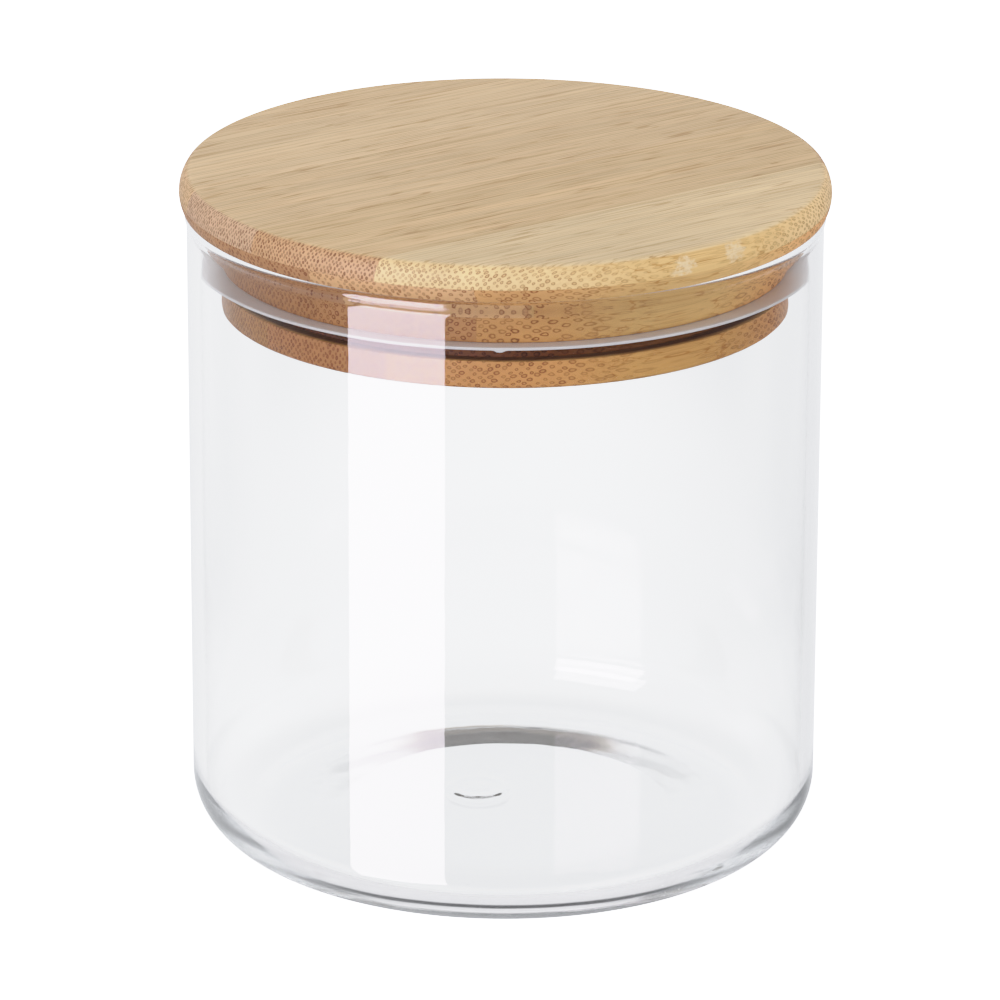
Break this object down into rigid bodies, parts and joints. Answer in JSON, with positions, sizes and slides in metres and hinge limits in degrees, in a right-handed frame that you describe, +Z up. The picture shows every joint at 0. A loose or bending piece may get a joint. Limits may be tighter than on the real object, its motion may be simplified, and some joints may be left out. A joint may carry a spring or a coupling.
{
  "type": "food canister",
  "caption": "Straight round clear glass food canister with a laminated bamboo lid, whose plug carries a silicone sealing ring; the lid turns and lifts straight out.",
  "frame": {"origin": "centre of the ring the jar stands on, on the plane of the table", "axes": "+Z up along the jar's axis; +X to the right and -Y towards the viewer; the lid's grain runs 36 degrees from +X towards +Y"},
  "size_m": [0.1022, 0.1022, 0.1097],
  "materials": {
    "glass": "clear borosilicate, smooth and fire polished",
    "silicone": "translucent silicone, satin",
    "bamboo_face": "sanded pale bamboo, matt clear oil",
    "bamboo_second": "sanded golden bamboo, end grain at the edge",
    "bamboo_third": "turned bamboo, warm brown end grain",
    "bamboo_bottom": "turned bamboo, warm brown end grain"
  },
  "bodies": {
    "jar": {"glass_jar": "glass"},
    "seal": {"seal_ring": "silicone"},
    "lid": {"face_slat_1": "bamboo_face", "face_slat_2": "bamboo_face", "face_slat_3": "bamboo_face", "face_slat_4": "bamboo_face", "face_slat_5": "bamboo_face", "second_slat_1": "bamboo_second", "second_slat_2": "bamboo_second", "second_slat_3": "bamboo_second", "second_slat_4": "bamboo_second", "second_slat_5": "bamboo_second", "third_slat_1": "bamboo_third", "third_slat_2": "bamboo_third", "third_slat_3": "bamboo_third", "third_slat_4": "bamboo_third", "third_slat_5": "bamboo_third", "bottom_slat_1": "bamboo_bottom", "bottom_slat_2": "bamboo_bottom", "bottom_slat_3": "bamboo_bottom", "bottom_slat_4": "bamboo_bottom"}
  },
  "joints": [
    {"name": "lid_lift", "type": "slide", "parent": "jar", "child": "seal", "axis": [0, 0, 1], "range_m": [0, 0.05]},
    {"name": "lid_twist", "type": "hinge", "parent": "seal", "child": "lid", "pos_m": [0, 0, 0.0949], "axis": [0, 0, 1], "continuous": true}
  ]
}
